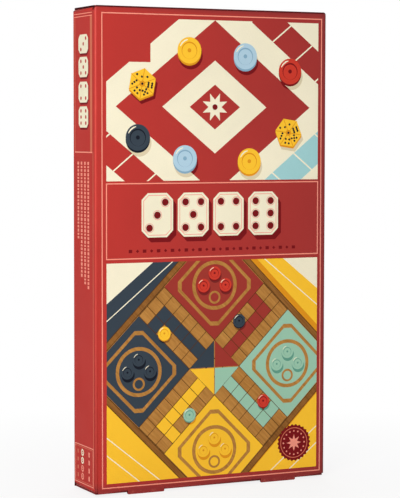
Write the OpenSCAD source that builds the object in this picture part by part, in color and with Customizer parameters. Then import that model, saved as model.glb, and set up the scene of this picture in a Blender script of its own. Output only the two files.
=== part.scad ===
// Boxed folding board game: a printed tuck-end carton that stands on its short end and holds
// a folding wooden board case, its pawns, two dice and a leaflet.
// The origin is on the ground under the middle of the box. +Z is up and -Y is the printed front.

/* [Carton] */
// Outer width of the carton, left to right
carton_w = 161; // [156:0.5:170]
// Outer depth of the carton, front to back
carton_d = 36; // [36:0.5:42]
// Height of the carton between the outer faces of its two closures
carton_h = 300; // [300:1:320]
// Thickness of the card
card_t = 1.2; // [1:0.05:1.2]
// Outer radius of the creased upright edges
edge_r = 1.6; // [1.4:0.1:2]
// Width of the glued flap inside the left panel
glue_flap_w = 14; // [8:1:20]
// How far the glued flap's ends stay clear of the side panel's ends
glue_flap_inset = 3; // [1:0.5:10]

/* [Lock tongues] */
// Width of each of the two tongues below the front panel
tongue_w = 25; // [15:0.5:30]
// Distance between the inner ends of the two tongues
tongue_spread = 68; // [40:1:80]
// How far the tongues stand out below the carton
tongue_drop = 1.2; // [0.8:0.1:1.4]
// Room around each tongue in the bottom closure
tongue_room = 0.3; // [0.2:0.1:0.5]
// Size of the sloped cut on each tongue's lower corners
tongue_chamfer = 0.6; // [0:0.1:0.8]

/* [Closures and flaps] */
// How much narrower a closure is than the carton, on each side
closure_inset = 0.8; // [0.6:0.1:1.5]
// Depth of a tuck flap below its closure's outer face
tuck_depth = 10; // [8:0.5:10]
// How much narrower a tuck flap is than the carton, on each side
tuck_inset = 3; // [2.2:0.1:6]
// Radius of a tuck flap's free corners
tuck_corner_r = 5; // [2:0.5:7]
// Gap between a closure's creased edge and the panel that it tucks behind
tuck_gap = 0.5; // [0.4:0.1:0.8]
// Least gap between a tuck flap's tip and that panel as the closure swings
swing_gap = 0.08; // [0.05:0.01:0.2]
// Length of a dust flap from its crease
dust_len = 30; // [20:1:32]
// Gap between a dust flap and the inside of the panel that its closure hinges on
dust_back_gap = 0.6; // [0.4:0.1:1]
// Gap between a dust flap and the inside of the panel on its closure's tuck side
dust_tuck_gap = 2.8; // [2.6:0.1:4]
// Length of a dust flap beside the closure's hinge, before its edge slopes out
dust_root_len = 2.6; // [1:0.1:2.8]
// Radius of a dust flap's free corner
dust_corner_r = 4; // [2:0.5:8]

/* [Board case] */
// Length of the folded board case
case_l = 287; // [270:1:287]
// Width of the folded board case, without its brass fittings
case_w = 146; // [130:1:146]
// Thickness of the folded board case, both halves together
case_d = 27.2; // [24:0.1:27.2]
// Gap between the two halves
fold_gap = 0.1; // [0.05:0.05:0.3]
// Width of the wooden rails round each half
rail_w = 9; // [7:0.5:12]
// Thickness of the playing board set in each half
board_t = 3; // [2:0.5:4]
// How far the playing board lies below the rails' outer faces
board_recess = 0.3; // [0:0.1:1]
// Gap between the case and the dust flaps that it stands on
case_rest_gap = 0.2; // [0.1:0.1:0.5]
// Thickness of the divider strips inside the case
divider_t = 3; // [2:0.5:5]
// Height of the compartment for each row of pawns
pawn_room_h = 27; // [26:0.5:35]

/* [Brass fittings] */
// Length of each butt hinge along the fold
hinge_l = 20; // [14:1:30]
// Distance of each hinge's middle from the case's middle
hinge_offset = 90; // [60:5:110]
// Width of a hinge leaf, from the fold to its free edge
leaf_w = 9.5; // [8:0.5:11]
// Thickness of the hinge leaves
leaf_t = 0.8; // [0.5:0.1:1]
// Outer radius of the hinge knuckles
knuckle_r = 1.7; // [1.4:0.1:2]
// Radius of the hinge pins
pin_r = 0.7; // [0.5:0.05:0.8]
// Radius of the screw shanks
screw_r = 0.9; // [0.7:0.05:1.1]
// Radius of the screw heads
screw_head_r = 1.7; // [1.4:0.1:2]
// Height of the domed screw heads
screw_head_h = 0.7; // [0.5:0.1:1]
// Length of the screws below their heads
screw_l = 6; // [4:0.5:8]
// Distance from the fold to the catch's pivot and to its stud
catch_reach = 6.3; // [5:0.1:7]
// Height of the catch's hook plate
catch_h = 5; // [4.4:0.1:6]
// Thickness of the catch's hook plate
catch_t = 0.9; // [0.6:0.1:1.2]
// Radius of the catch's pivot and stud
stud_r = 1.2; // [1:0.1:1.4]
// Radius of the heads of the catch's pivot and stud
stud_head_r = 2.1; // [1.9:0.1:2.5]

/* [Playing pieces] */
// Height of a pawn
pawn_h = 24; // [20:0.5:25]
// Radius of a pawn's foot
pawn_foot_r = 6; // [5:0.25:6.5]
// Radius of a pawn's head
pawn_head_r = 3.9; // [3:0.1:4.5]
// Radius of a pawn's neck
pawn_neck_r = 2.3; // [1.8:0.1:2.8]
// Distance between neighbouring pawns
pawn_pitch = 15.5; // [14:0.5:16]
// Edge length of a die
die_a = 14; // [12:0.5:16]
// Radius of a die's dots
pip_r = 1.2; // [0.8:0.1:1.4]
// Distance between a die's middle dot and its outer ones
pip_pitch = 3.6; // [2.5:0.1:4]
// Width of the leaflet
leaflet_w = 105; // [80:1:120]
// Height of the leaflet
leaflet_h = 148; // [100:1:160]
// Thickness of the folded leaflet
leaflet_t = 0.8; // [0.4:0.1:1.2]

/* [Hidden] */
$fn = 48;

RED = [0.72, 0.22, 0.20];
CARD = [0.80, 0.74, 0.66];
PINE = [0.80, 0.62, 0.40];
BOARD_WOOD = [0.66, 0.46, 0.26];
BRASS = [0.80, 0.64, 0.30];
NAVY = [0.22, 0.27, 0.32];
YELLOW = [0.98, 0.74, 0.20];
MINT = [0.50, 0.75, 0.66];
CREAM = [0.96, 0.92, 0.82];

// A little more than nothing, so that cutting solids pass right through
cut = 1;

// Levels of the carton
base_z = tongue_drop;
top_z = base_z + carton_h;
half_w = carton_w / 2;
half_d = carton_d / 2;
inner_half_d = half_d - card_t;
side_low_z = base_z + 2 * card_t;
side_top_z = top_z - 2 * card_t;

// A closure hinges on one outer edge and tucks behind the opposite panel
closure_reach = carton_d - card_t - tuck_gap;
tip_reach = sqrt(pow(carton_d - card_t - swing_gap, 2) - pow(tuck_depth, 2));
tuck_angle = atan((closure_reach - tip_reach) / (tuck_depth - card_t));
tuck_len = (tuck_depth - card_t) / cos(tuck_angle);

// The tongues' clearance hole reaches past the corner that they sweep when the closure opens
tongue_x = (tongue_spread + tongue_w) / 2;
tongue_hole_d = sqrt(pow(card_t, 2) + pow(tongue_drop, 2)) + 0.2;

// A dust flap may reach twice as far from its crease as it lies from the closure's hinge,
// because it opens at half the closure's angle: the slope keeps a tenth in hand
dust_slope_y = half_d - dust_len / 1.8;

// Levels and sizes of the board case
case_z = side_low_z + case_rest_gap;
half_case_w = case_w / 2;
half_case_d = case_d / 2;
half_fold = fold_gap / 2;
rail_d = half_case_d - half_fold;
inner_w = case_w - 2 * rail_w;
inner_l = case_l - 2 * rail_w;
board_out_y = half_case_d - board_recess;
board_in_y = board_out_y - board_t;
fold_mid_z = case_z + case_l / 2;
rest_gap = 0.1;

// Divider levels: a row of pawns stands below each
lower_divider_z = case_z + rail_w + pawn_room_h;
upper_divider_z = lower_divider_z + divider_t + pawn_room_h;

// Hinges and catch
knuckle_x = half_case_w + knuckle_r + rest_gap;
knuckle_gap = 0.2;
knuckle_l = (hinge_l - 2 * knuckle_gap) / 3;
screw_y = (leaf_w + knuckle_r) / 2;
screw_spread = hinge_l * 0.56;
running_gap = 0.05;
catch_z = fold_mid_z;
catch_lift = 0.2;
catch_side_x = -half_case_w - catch_lift;
slot_room = 0.15;
slot_drift = 0.35;

// Playing pieces
pawn_y = board_in_y - pawn_foot_r - 0.2;
pawn_base_zs = [case_z + rail_w + rest_gap, lower_divider_z + divider_t + rest_gap];
shelf_z = upper_divider_z + divider_t + rest_gap;

// The outline of the dots on a die's face, for one to six dots
function pips(n) = [
    for (at = [[0, 0], [-1, -1], [1, 1], [-1, 1], [1, -1], [0, -1], [0, 1]])
        if (at == [0, 0] ? n % 2 == 1
            : at == [-1, -1] || at == [1, 1] ? n > 1
            : at == [-1, 1] || at == [1, -1] ? n > 3
            : n == 6) at
];

// Turns a shape drawn for the top of the carton into its twin at the bottom,
// which hinges on the front instead of the back
module at_bottom() {
    translate([0, 0, top_z + base_z]) rotate([180, 0, 0]) children();
}

// A quarter of the rounded upright edge, for the corner at +X, -Y
module front_corner_edge(z_low, z_high) {
    translate([half_w - edge_r, -half_d + edge_r, z_low]) difference() {
        cylinder(r = edge_r, h = z_high - z_low);
        translate([0, 0, -cut]) cylinder(r = edge_r - card_t, h = z_high - z_low + 2 * cut);
        translate([-2 * edge_r, -2 * edge_r, -cut])
            cube([2 * edge_r, 4 * edge_r, z_high - z_low + 2 * cut]);
        translate([-edge_r, 0, -cut]) cube([4 * edge_r, 4 * edge_r, z_high - z_low + 2 * cut]);
    }
}

// A main panel at the front, with both its rounded upright edges
module main_panel(z_low, z_high) {
    translate([-half_w + edge_r, -half_d, z_low])
        cube([carton_w - 2 * edge_r, card_t, z_high - z_low]);
    front_corner_edge(z_low, z_high);
    mirror([1, 0, 0]) front_corner_edge(z_low, z_high);
}

// The tongue at +X: the front panel's own card, left standing when the closure folds
module tongue() {
    translate([tongue_x, -half_d + card_t, 0]) rotate([90, 0, 0]) linear_extrude(card_t)
        polygon([
            [-tongue_w / 2 + tongue_chamfer, 0],
            [tongue_w / 2 - tongue_chamfer, 0],
            [tongue_w / 2, tongue_chamfer],
            [tongue_w / 2, base_z + card_t],
            [-tongue_w / 2, base_z + card_t],
            [-tongue_w / 2, tongue_chamfer]
        ]);
}

module front_panel() {
    color(RED) union() {
        main_panel(base_z + card_t, top_z);
        tongue();
        mirror([1, 0, 0]) tongue();
    }
}

module back_panel() {
    color(RED) mirror([0, 1, 0]) main_panel(base_z, top_z - card_t);
}

module side_panel() {
    translate([half_w - card_t, -half_d + edge_r, side_low_z])
        cube([card_t, carton_d - 2 * edge_r, side_top_z - side_low_z]);
}

module left_panel() {
    color(RED) mirror([1, 0, 0]) side_panel();
}

module right_panel() {
    color(RED) side_panel();
}

// The glued flap lies against the left panel and ends where the back edge starts to curve
module glue_flap() {
    color(CARD) translate([
        -half_w + card_t, half_d - edge_r - glue_flap_w, side_low_z + glue_flap_inset
    ]) cube([card_t, glue_flap_w, side_top_z - side_low_z - 2 * glue_flap_inset]);
}

// A closure's sheet, lying on the panel that it hinges on, with its tuck crease rounded
module closure_sheet() {
    closure_w = carton_w - 2 * closure_inset;
    crease_y = half_d - closure_reach + card_t;
    translate([-closure_w / 2, crease_y, top_z - card_t])
        cube([closure_w, half_d - crease_y, card_t]);
    intersection() {
        translate([-closure_w / 2, crease_y, top_z - card_t]) rotate([0, 90, 0])
            cylinder(r = card_t, h = closure_w);
        translate([-closure_w / 2, crease_y - 2 * card_t, top_z - card_t])
            cube([closure_w, 2 * card_t, 2 * card_t]);
    }
}

// A closure's tuck flap, leaning inwards so that its tip clears the panel as it swings
module tuck_flap() {
    flap_w = carton_w - 2 * tuck_inset;
    straight_l = tuck_len - tuck_corner_r;
    difference() {
        translate([-flap_w / 2, half_d - closure_reach, top_z - card_t])
            rotate([tuck_angle, 0, 0]) translate([0, 0, -tuck_len]) union() {
                translate([0, 0, tuck_corner_r]) cube([flap_w, card_t, straight_l + card_t]);
                translate([tuck_corner_r, 0, 0])
                    cube([flap_w - 2 * tuck_corner_r, card_t, tuck_len]);
                for (x = [tuck_corner_r, flap_w - tuck_corner_r])
                    translate([x, card_t, tuck_corner_r]) rotate([90, 0, 0])
                        cylinder(r = tuck_corner_r, h = card_t);
            }
        translate([-half_w, -half_d, top_z - card_t]) cube([carton_w, carton_d, 4 * card_t]);
    }
}

// The dust flap that hinges on the right panel's top edge, with its crease rounded
module dust_flap() {
    tuck_y = -inner_half_d + dust_tuck_gap;
    back_y = inner_half_d - dust_back_gap;
    free_x = half_w - dust_len;
    translate([0, 0, side_top_z]) linear_extrude(card_t) difference() {
        polygon([
            [half_w - card_t, tuck_y],
            [half_w - card_t, back_y],
            [half_w - dust_root_len, back_y],
            [free_x, dust_slope_y],
            [free_x, tuck_y]
        ]);
        difference() {
            translate([free_x - cut, tuck_y - cut])
                square([dust_corner_r + cut, dust_corner_r + cut]);
            translate([free_x + dust_corner_r, tuck_y + dust_corner_r])
                circle(r = dust_corner_r);
        }
    }
    intersection() {
        translate([half_w - card_t, back_y, side_top_z]) rotate([90, 0, 0])
            cylinder(r = card_t, h = back_y - tuck_y);
        translate([half_w - card_t, tuck_y, side_top_z])
            cube([2 * card_t, back_y - tuck_y, 2 * card_t]);
    }
}

module top_closure() {
    color(RED) closure_sheet();
}

module top_tuck_flap() {
    color(RED) tuck_flap();
}

module top_dust_flap_left() {
    color(RED) mirror([1, 0, 0]) dust_flap();
}

module top_dust_flap_right() {
    color(RED) dust_flap();
}

// The bottom closure hinges on the front panel's lower edge, round the two tongues.
// Its hinged edge is rounded too, because the front panel ends above it
module bottom_closure() {
    closure_w = carton_w - 2 * closure_inset;
    color(RED) difference() {
        at_bottom() closure_sheet();
        for (side = [-1, 1])
            translate([
                side * tongue_x - tongue_w / 2 - tongue_room, -half_d - cut, base_z - cut
            ]) cube([tongue_w + 2 * tongue_room, tongue_hole_d + cut, card_t + 2 * cut]);
        translate([-closure_w / 2 - cut, -half_d - cut, base_z - cut]) difference() {
            cube([closure_w + 2 * cut, card_t + cut, card_t + cut]);
            translate([-cut, card_t + cut, card_t + cut]) rotate([0, 90, 0])
                cylinder(r = card_t, h = closure_w + 4 * cut);
        }
    }
}

module bottom_tuck_flap() {
    color(RED) at_bottom() tuck_flap();
}

module bottom_dust_flap_left() {
    color(RED) at_bottom() mirror([1, 0, 0]) dust_flap();
}

module bottom_dust_flap_right() {
    color(RED) at_bottom() dust_flap();
}

// The front half's shapes are drawn once, and mirrored for the back half
module at_back() {
    mirror([0, 1, 0]) children();
}

module playing_board() {
    color(BOARD_WOOD) translate([-inner_w / 2, -board_out_y, case_z + rail_w])
        cube([inner_w, board_t, inner_l]);
}

module end_rail(z_low) {
    color(PINE) translate([-half_case_w, -half_case_d, z_low]) cube([case_w, rail_d, rail_w]);
}

// A long rail on the right, with pilot holes for its hinge screws
module hinge_rail() {
    color(PINE) difference() {
        translate([half_case_w - rail_w, -half_case_d, case_z + rail_w])
            cube([rail_w, rail_d, inner_l]);
        for (z = screw_levels())
            translate([half_case_w - screw_l - rest_gap, -screw_y, z]) rotate([0, 90, 0])
                cylinder(r = screw_r + running_gap, h = screw_l + cut);
    }
}

// A long rail on the left, with the hole for the catch's pivot or stud
module catch_rail() {
    color(PINE) difference() {
        translate([-half_case_w, -half_case_d, case_z + rail_w])
            cube([rail_w, rail_d, inner_l]);
        translate([-half_case_w - cut, -catch_reach, catch_z]) rotate([0, 90, 0])
            cylinder(r = stud_r + running_gap, h = screw_l + cut);
    }
}

module divider(z_low) {
    color(PINE) translate([-inner_w / 2, -board_in_y, z_low])
        cube([inner_w, board_in_y - half_fold, divider_t]);
}

module front_board() {
    playing_board();
}

module front_rail_top() {
    end_rail(case_z + case_l - rail_w);
}

module front_rail_bottom() {
    end_rail(case_z);
}

module front_rail_left() {
    catch_rail();
}

module front_rail_right() {
    hinge_rail();
}

module back_board() {
    at_back() playing_board();
}

module back_rail_top() {
    at_back() end_rail(case_z + case_l - rail_w);
}

module back_rail_bottom() {
    at_back() end_rail(case_z);
}

module back_rail_left() {
    at_back() catch_rail();
}

module back_rail_right() {
    at_back() hinge_rail();
}

module front_divider_lower() {
    divider(lower_divider_z);
}

module front_divider_upper() {
    divider(upper_divider_z);
}

module back_divider_lower() {
    at_back() divider(lower_divider_z);
}

module back_divider_upper() {
    at_back() divider(upper_divider_z);
}

// Heights of all hinge screws, and of one hinge's
function hinge_screw_levels(mid_z) = [for (side = [-1, 1]) mid_z + side * screw_spread / 2];
function screw_levels() = [
    for (side = [-1, 1]) each hinge_screw_levels(fold_mid_z + side * hinge_offset)
];

// A front hinge leaf with the knuckles that it owns, counted from below
module hinge_leaf(mid_z, knuckles) {
    low_z = mid_z - hinge_l / 2;
    color(BRASS) difference() {
        union() {
            translate([half_case_w, -leaf_w, low_z])
                cube([leaf_t, leaf_w - knuckle_r - rest_gap, hinge_l]);
            for (i = knuckles)
                translate([knuckle_x, 0, low_z + i * (knuckle_l + knuckle_gap)]) {
                    cylinder(r = knuckle_r, h = knuckle_l);
                    translate([half_case_w + rest_gap - knuckle_x, -knuckle_r - 2 * rest_gap, 0])
                        cube([leaf_t - rest_gap, knuckle_r + 2 * rest_gap, knuckle_l]);
                }
        }
        translate([knuckle_x, 0, low_z - cut])
            cylinder(r = pin_r + running_gap, h = hinge_l + 2 * cut);
        for (z = hinge_screw_levels(mid_z))
            translate([half_case_w - cut, -screw_y, z]) rotate([0, 90, 0])
                cylinder(r = screw_r + running_gap, h = leaf_t + 2 * cut);
    }
}

module hinge_pin(mid_z) {
    color(BRASS) translate([knuckle_x, 0, mid_z - hinge_l / 2]) cylinder(r = pin_r, h = hinge_l);
}

// A screw driven in towards -X, with a domed head
module wood_screw() {
    sphere_r = (pow(screw_head_r, 2) + pow(screw_head_h, 2)) / (2 * screw_head_h);
    rotate([0, 90, 0]) union() {
        translate([0, 0, -screw_l]) cylinder(r = screw_r, h = screw_l);
        intersection() {
            cylinder(r = screw_head_r, h = screw_head_h);
            translate([0, 0, screw_head_h - sphere_r]) sphere(r = sphere_r);
        }
    }
}

module hinge_screws(mid_z) {
    color(BRASS) for (z = hinge_screw_levels(mid_z), side = [-1, 1])
        translate([half_case_w + leaf_t, side * screw_y, z]) wood_screw();
}

module upper_hinge_front_leaf() {
    hinge_leaf(fold_mid_z + hinge_offset, [1]);
}

module upper_hinge_back_leaf() {
    at_back() hinge_leaf(fold_mid_z + hinge_offset, [0, 2]);
}

module upper_hinge_pin() {
    hinge_pin(fold_mid_z + hinge_offset);
}

module upper_hinge_screws() {
    hinge_screws(fold_mid_z + hinge_offset);
}

module lower_hinge_front_leaf() {
    hinge_leaf(fold_mid_z - hinge_offset, [1]);
}

module lower_hinge_back_leaf() {
    at_back() hinge_leaf(fold_mid_z - hinge_offset, [0, 2]);
}

module lower_hinge_pin() {
    hinge_pin(fold_mid_z - hinge_offset);
}

module lower_hinge_screws() {
    hinge_screws(fold_mid_z - hinge_offset);
}

// The hook swings up about its pivot on the back half and drops over the front half's stud.
// Its slot is wider towards the pivot, because the stud leaves it along an arc
module catch_hook() {
    slot_r = stud_r + slot_room;
    color(BRASS) translate([catch_side_x, 0, catch_z]) rotate([90, 0, -90]) linear_extrude(catch_t)
        difference() {
            union() {
                translate([-catch_reach, -catch_h / 2]) square([2 * catch_reach, catch_h]);
                for (side = [-1, 1])
                    translate([side * catch_reach, 0]) circle(r = catch_h / 2);
            }
            translate([-catch_reach, 0]) circle(r = stud_r + running_gap);
            translate([catch_reach, 0]) circle(r = slot_r);
            translate([catch_reach - slot_r - slot_drift, -catch_h])
                square([2 * slot_r + slot_drift, catch_h]);
        }
}

// A shouldered screw for the catch, driven in towards +X at the front half
module catch_screw() {
    shank_l = catch_lift + catch_t + rest_gap;
    color(BRASS) translate([-half_case_w, -catch_reach, catch_z]) rotate([0, -90, 0]) {
        translate([0, 0, -screw_l + rest_gap]) cylinder(r = stud_r, h = screw_l + shank_l);
        translate([0, 0, shank_l]) cylinder(r = stud_head_r, h = screw_head_h);
    }
}

module catch_pivot() {
    at_back() catch_screw();
}

module catch_stud() {
    catch_screw();
}

module pawn() {
    foot_h = pawn_h / 12;
    head_z = pawn_h - pawn_head_r;
    union() {
        cylinder(r = pawn_foot_r, h = foot_h);
        translate([0, 0, foot_h])
            cylinder(r1 = pawn_foot_r * 0.9, r2 = pawn_neck_r, h = head_z - foot_h);
        translate([0, 0, head_z]) sphere(r = pawn_head_r);
    }
}

// Four pawns in a row of eight: the row counts from below, and the side is -1 or 1
module pawn_set(row, side) {
    for (i = [0:3])
        translate([side * (i + 0.5) * pawn_pitch, pawn_y, pawn_base_zs[row]]) pawn();
}

module pawns_red() {
    color(RED) pawn_set(0, -1);
}

module pawns_navy() {
    color(NAVY) pawn_set(0, 1);
}

module pawns_yellow() {
    color(YELLOW) pawn_set(1, -1);
}

module pawns_mint() {
    color(MINT) pawn_set(1, 1);
}

// A die with rounded corners and hollow dots, opposite faces adding up to seven
module die() {
    turns = [[0, 0, 0], [180, 0, 0], [90, 0, 0], [-90, 0, 0], [0, 90, 0], [0, -90, 0]];
    counts = [1, 6, 2, 5, 3, 4];
    difference() {
        intersection() {
            cube(die_a, center = true);
            sphere(r = die_a * 0.73);
        }
        for (face = [0:5])
            rotate(turns[face]) for (at = pips(counts[face]))
                translate([at[0] * pip_pitch, at[1] * pip_pitch, die_a / 2 + pip_r / 2])
                    sphere(r = pip_r);
    }
}

module die_left() {
    color(YELLOW) translate([-die_a, 0, shelf_z + die_a / 2]) die();
}

module die_right() {
    color(YELLOW) translate([die_a, 0, shelf_z + die_a / 2]) rotate([0, 0, 90]) die();
}

module rules_leaflet() {
    color(CREAM) translate([-leaflet_w / 2, board_in_y - leaflet_t - rest_gap, shelf_z])
        cube([leaflet_w, leaflet_t, leaflet_h]);
}

front_panel();
back_panel();
left_panel();
right_panel();
glue_flap();
top_closure();
top_tuck_flap();
top_dust_flap_left();
top_dust_flap_right();
bottom_closure();
bottom_tuck_flap();
bottom_dust_flap_left();
bottom_dust_flap_right();
front_board();
front_rail_top();
front_rail_bottom();
front_rail_left();
front_rail_right();
back_board();
back_rail_top();
back_rail_bottom();
back_rail_left();
back_rail_right();
front_divider_lower();
front_divider_upper();
back_divider_lower();
back_divider_upper();
upper_hinge_front_leaf();
upper_hinge_back_leaf();
upper_hinge_pin();
upper_hinge_screws();
lower_hinge_front_leaf();
lower_hinge_back_leaf();
lower_hinge_pin();
lower_hinge_screws();
catch_hook();
catch_pivot();
catch_stud();
pawns_red();
pawns_navy();
pawns_yellow();
pawns_mint();
die_left();
die_right();
rules_leaflet();
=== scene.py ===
import math

import bmesh
import bpy
from mathutils import Matrix, Vector
from mathutils.geometry import convex_hull_2d, delaunay_2d_cdt


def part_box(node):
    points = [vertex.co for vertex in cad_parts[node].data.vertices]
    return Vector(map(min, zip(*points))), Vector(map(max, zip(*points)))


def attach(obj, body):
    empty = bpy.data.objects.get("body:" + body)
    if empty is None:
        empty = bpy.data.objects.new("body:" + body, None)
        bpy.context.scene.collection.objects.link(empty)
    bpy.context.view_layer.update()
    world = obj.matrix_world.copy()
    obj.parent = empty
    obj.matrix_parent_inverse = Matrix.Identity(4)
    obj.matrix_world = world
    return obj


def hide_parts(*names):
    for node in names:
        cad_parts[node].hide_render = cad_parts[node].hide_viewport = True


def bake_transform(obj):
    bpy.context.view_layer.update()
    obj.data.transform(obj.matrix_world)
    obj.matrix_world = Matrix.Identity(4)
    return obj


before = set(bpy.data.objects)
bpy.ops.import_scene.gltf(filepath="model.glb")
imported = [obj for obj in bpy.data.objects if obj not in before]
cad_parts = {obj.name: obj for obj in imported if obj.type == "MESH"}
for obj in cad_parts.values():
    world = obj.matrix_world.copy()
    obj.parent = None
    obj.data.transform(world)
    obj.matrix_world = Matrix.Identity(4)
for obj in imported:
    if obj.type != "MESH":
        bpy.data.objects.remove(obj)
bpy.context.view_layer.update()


# The photograph's view: a long lens, left of the printed front, at about two thirds of the
# box's height and tipped down a little, so that the front and the left side show.
VIEW_TURN, VIEW_TILT, VIEW_ROLL = -25.697, -3.568, 0.092
view_data = bpy.data.cameras.new("photo_view")
view_data.lens = 135.25
view_data.sensor_width = 36
camera = bpy.data.objects.new("photo_view", view_data)
camera.location = (-0.5168, -1.0722, 0.2242)
camera.rotation_euler = (Matrix.Rotation(math.radians(VIEW_TURN), 4, "Z")
                         @ Matrix.Rotation(math.radians(90 + VIEW_TILT), 4, "X")
                         @ Matrix.Rotation(math.radians(VIEW_ROLL), 4, "Z")).to_euler()
bpy.context.scene.collection.objects.link(camera)
bpy.context.scene.camera = camera
bpy.context.scene.view_settings.view_transform = "Standard"


# A product studio: a white world, a large soft lamp to the left of the front, weaker ones in
# front, above and behind, and a white floor that keeps only the contact shadow.
def put(tree, kind, inputs=None, **settings):
    """Adds a shader node. A value that is another node's output is linked."""
    node = tree.nodes.new("ShaderNode" + kind)
    for key, value in settings.items():
        setattr(node, key, value)
    for key, value in (inputs or {}).items():
        if isinstance(value, bpy.types.NodeSocket):
            tree.links.new(value, node.inputs[key])
        else:
            node.inputs[key].default_value = value
    return node


def seen_directly(tree):
    """1 where the camera, a shiny surface or glass looks at the white, 0 where it lights."""
    path = put(tree, "LightPath").outputs
    both = put(tree, "Math", {0: path["Is Camera Ray"], 1: path["Is Glossy Ray"]},
               operation="ADD").outputs[0]
    return put(tree, "Math", {0: both, 1: path["Is Transmission Ray"]},
               operation="ADD", use_clamp=True).outputs[0]


world = bpy.data.worlds.new("white_studio")
world.use_nodes = True
bpy.context.scene.world = world
AMBIENT = 0.22
background = world.node_tree.nodes["Background"]
background.inputs["Color"].default_value = (1, 1, 1, 1)
strength = put(world.node_tree, "MapRange", {"Value": seen_directly(world.node_tree),
                                             "To Min": AMBIENT, "To Max": 1.0})
world.node_tree.links.new(strength.outputs[0], background.inputs["Strength"])


def lamp(name, place, target, width, height, watts):
    """A soft rectangular lamp that faces the target."""
    data = bpy.data.lights.new(name, "AREA")
    data.shape = "RECTANGLE"
    data.size, data.size_y, data.energy = width, height, watts
    light = bpy.data.objects.new(name, data)
    light.location = place
    light.rotation_euler = (Vector(target) - Vector(place)).to_track_quat("-Z", "Y").to_euler()
    bpy.context.scene.collection.objects.link(light)


lamp("key_lamp", (-0.74, -0.76, 0.46), (-0.04, 0, 0.17), 0.4, 0.6, 8.4)
lamp("fill_lamp", (0.1, -1.7, 0.4), (0, 0, 0.15), 0.8, 0.8, 1.4)
lamp("top_lamp", (0.1, 0.3, 1.5), (0, 0, 0.15), 0.9, 0.9, 6.0)
lamp("back_lamp", (0.6, 1.3, 0.6), (0, 0, 0.15), 0.9, 0.9, 8.0)

floor_mesh = bpy.data.meshes.new("floor")
floor_shape = bmesh.new()
bmesh.ops.create_circle(floor_shape, cap_ends=True, segments=96, radius=6)
floor_shape.to_mesh(floor_mesh)
floor_shape.free()
floor = bpy.data.objects.new("floor", floor_mesh)
bpy.context.scene.collection.objects.link(floor)
floor_paint = bpy.data.materials.new("floor_white")
floor_paint.use_nodes = True
floor_tree = floor_paint.node_tree
floor_tree.nodes.clear()
matt = put(floor_tree, "BsdfDiffuse", {"Color": (0.86, 0.86, 0.86, 1)})
white = put(floor_tree, "Emission", {"Strength": 1.0})
floor_place = put(floor_tree, "TexCoord").outputs["Object"]
distance = put(floor_tree, "VectorMath", {0: floor_place}, operation="LENGTH").outputs["Value"]
fade = put(floor_tree, "MapRange", {"Value": distance, "From Min": 0.08, "From Max": 0.34,
                                    "To Min": 0.84, "To Max": 1.0}).outputs[0]
white_share = put(floor_tree, "Math", {0: fade, 1: seen_directly(floor_tree)},
                  operation="MULTIPLY").outputs[0]
lit = put(floor_tree, "MixShader", {0: white_share, 1: matt.outputs[0], 2: white.outputs[0]})
open_below = put(floor_tree, "MixShader", {
    0: put(floor_tree, "NewGeometry").outputs["Backfacing"], 1: lit.outputs[0],
    2: put(floor_tree, "BsdfTransparent").outputs[0]})
put(floor_tree, "OutputMaterial", {"Surface": open_below.outputs[0]})
floor_mesh.materials.append(floor_paint)


# The front panel is the printed face of the carton: 1.2 mm board, printed, laminated, creased
# and die-cut in one blank. Two tongues stand below it, and it owns its rounded upright edges.
MM = 0.001
CARD = 1.2
HALF_W, HALF_D, EDGE_R = 80.5, 18.0, 1.6
FLAT_X = HALF_W - EDGE_R
TOP_Z, BASE_Z = 301.2, 1.2
CREASE_BAND = 0.3
CORNER_STEPS, CORNER_DROP = 10, 1.2
# The middle steps of each upright fold, printed a lighter, glossier red: a painted highlight
SHINE = range(3, 7)


def linear(rgb):
    """Turns a colour from 0 to 255 as it is seen into the one that the shaders want."""
    parts = [c / 255 for c in rgb]
    return [c / 12.92 if c <= 0.04045 else ((c + 0.055) / 1.055) ** 2.4 for c in parts] + [1]


SURFACE = {"Colour": "Color", "Roughness": "Float", "Height": "Float"}


def new_group(name, inputs, outputs=SURFACE):
    """A shader node group with named inputs and outputs of the given kinds. Gives the group,
    the place on the piece, and the sockets of its inputs and outputs."""
    group = bpy.data.node_groups.new(name, "ShaderNodeTree")
    for way, labels in (("INPUT", inputs), ("OUTPUT", outputs)):
        for label, kind in labels.items():
            group.interface.new_socket(label, in_out=way, socket_type="NodeSocket" + kind)
    given = group.nodes.new("NodeGroupInput").outputs
    gives = group.nodes.new("NodeGroupOutput").inputs
    return group, put(group, "TexCoord").outputs["Object"], given, gives


def give(tree, gives, **values):
    """Links values to the outputs of a group."""
    for label, value in values.items():
        tree.links.new(value, gives[label])


def ramp(tree, value, low, high, to_low=0.0, to_high=1.0):
    """Maps low..high to to_low..to_high, and stops at both ends."""
    return put(tree, "MapRange", {"Value": value, "From Min": low, "From Max": high,
                                  "To Min": to_low, "To Max": to_high}).outputs[0]


def maths(tree, operation, value, *others):
    """Takes the first value and works each of the others into it."""
    for other in others:
        value = put(tree, "Math", {0: value, 1: other}, operation=operation).outputs[0]
    return value


def mix(tree, share, first, second):
    return put(tree, "Mix", {0: share, 6: first, 7: second}, data_type="RGBA").outputs[2]


def noise(tree, where, scale, detail=3.0, roughness=0.55):
    return put(tree, "TexNoise", {"Vector": where, "Scale": scale, "Detail": detail,
                                  "Roughness": roughness}).outputs["Fac"]


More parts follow.
